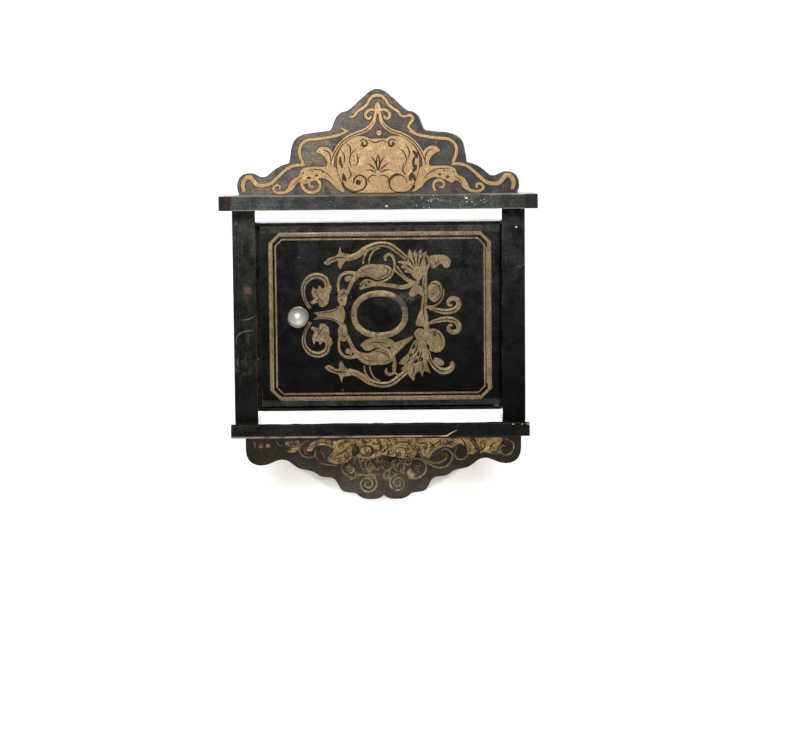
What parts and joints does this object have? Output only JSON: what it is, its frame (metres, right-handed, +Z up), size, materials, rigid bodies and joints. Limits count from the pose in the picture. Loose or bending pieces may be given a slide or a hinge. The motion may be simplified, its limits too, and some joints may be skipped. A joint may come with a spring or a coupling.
{
  "type": "wall cabinet",
  "caption": "Small ebonised wall cabinet: boxed cupboard with a gilt-decorated door and turning ball knob, between two shelves with a shaped crest and apron.",
  "frame": {"origin": "centre of the back panel's rear face, on the wall plane, at half the height of the boxed cupboard", "axes": "+X to the right of a viewer facing the door, +Y into the wall (the front faces -Y), +Z up"},
  "size_m": [0.318, 0.09, 0.4259],
  "materials": {
    "ebonised_wood": "black lacquer, satin, worn brown at the arrises",
    "plain_wood": "unfinished softwood, aged",
    "screw_iron": "dull, lightly rusted",
    "brass": "aged, satin",
    "worn_plating": "silvery plating over brass, worn through at the rim"
  },
  "bodies": {
    "cabinet": {"top_shelf": "ebonised_wood", "bottom_shelf": "ebonised_wood", "left_stile": "ebonised_wood", "right_stile": "ebonised_wood", "crest_board": "ebonised_wood", "apron_board": "ebonised_wood", "box_top_board": "ebonised_wood", "box_bottom_board": "ebonised_wood", "box_left_side": "ebonised_wood", "box_right_side": "ebonised_wood", "box_back_panel": "plain_wood", "dowel_top_left_front": "plain_wood", "dowel_top_left_rear": "plain_wood", "dowel_top_right_front": "plain_wood", "dowel_top_right_rear": "plain_wood", "dowel_bottom_left_front": "plain_wood", "dowel_bottom_left_rear": "plain_wood", "dowel_bottom_right_front": "plain_wood", "dowel_bottom_right_rear": "plain_wood", "crest_screw_left": "screw_iron", "crest_screw_middle": "screw_iron", "crest_screw_right": "screw_iron", "apron_screw_left": "screw_iron", "apron_screw_right": "screw_iron", "box_screw_left_upper": "screw_iron", "box_screw_left_lower": "screw_iron", "box_screw_right_upper": "screw_iron", "box_screw_right_lower": "screw_iron", "panel_pin_left_upper": "screw_iron", "panel_pin_left_middle": "screw_iron", "panel_pin_left_lower": "screw_iron", "panel_pin_right_upper": "screw_iron", "panel_pin_right_middle": "screw_iron", "panel_pin_right_lower": "screw_iron", "hanger_plate_left": "brass", "hanger_plate_right": "brass", "hanger_screw_left_upper": "brass", "hanger_screw_left_lower": "brass", "hanger_screw_right_upper": "brass", "hanger_screw_right_lower": "brass", "latch_keeper": "brass", "keeper_screw_upper": "brass", "keeper_screw_lower": "brass", "pivot_washer": "brass"},
    "door": {"door_panel": "ebonised_wood", "upper_pivot_pin": "brass", "lower_pivot_pin": "brass", "knob_rose": "brass"},
    "latch": {"knob": "worn_plating", "knob_spindle": "brass", "latch_tongue": "brass", "catch_spacer": "brass", "catch_nut": "brass"}
  },
  "joints": [
    {"name": "door_hinge", "type": "hinge", "parent": "cabinet", "child": "door", "pos_m": [0.11865, -0.0585, 0], "axis": [0, 0, 1], "range_deg": [0, 100]},
    {"name": "knob_turn", "type": "hinge", "parent": "door", "child": "latch", "pos_m": [-0.082, -0.063, 0.0004], "axis": [0, 1, 0], "range_deg": [0, 90]}
  ]
}
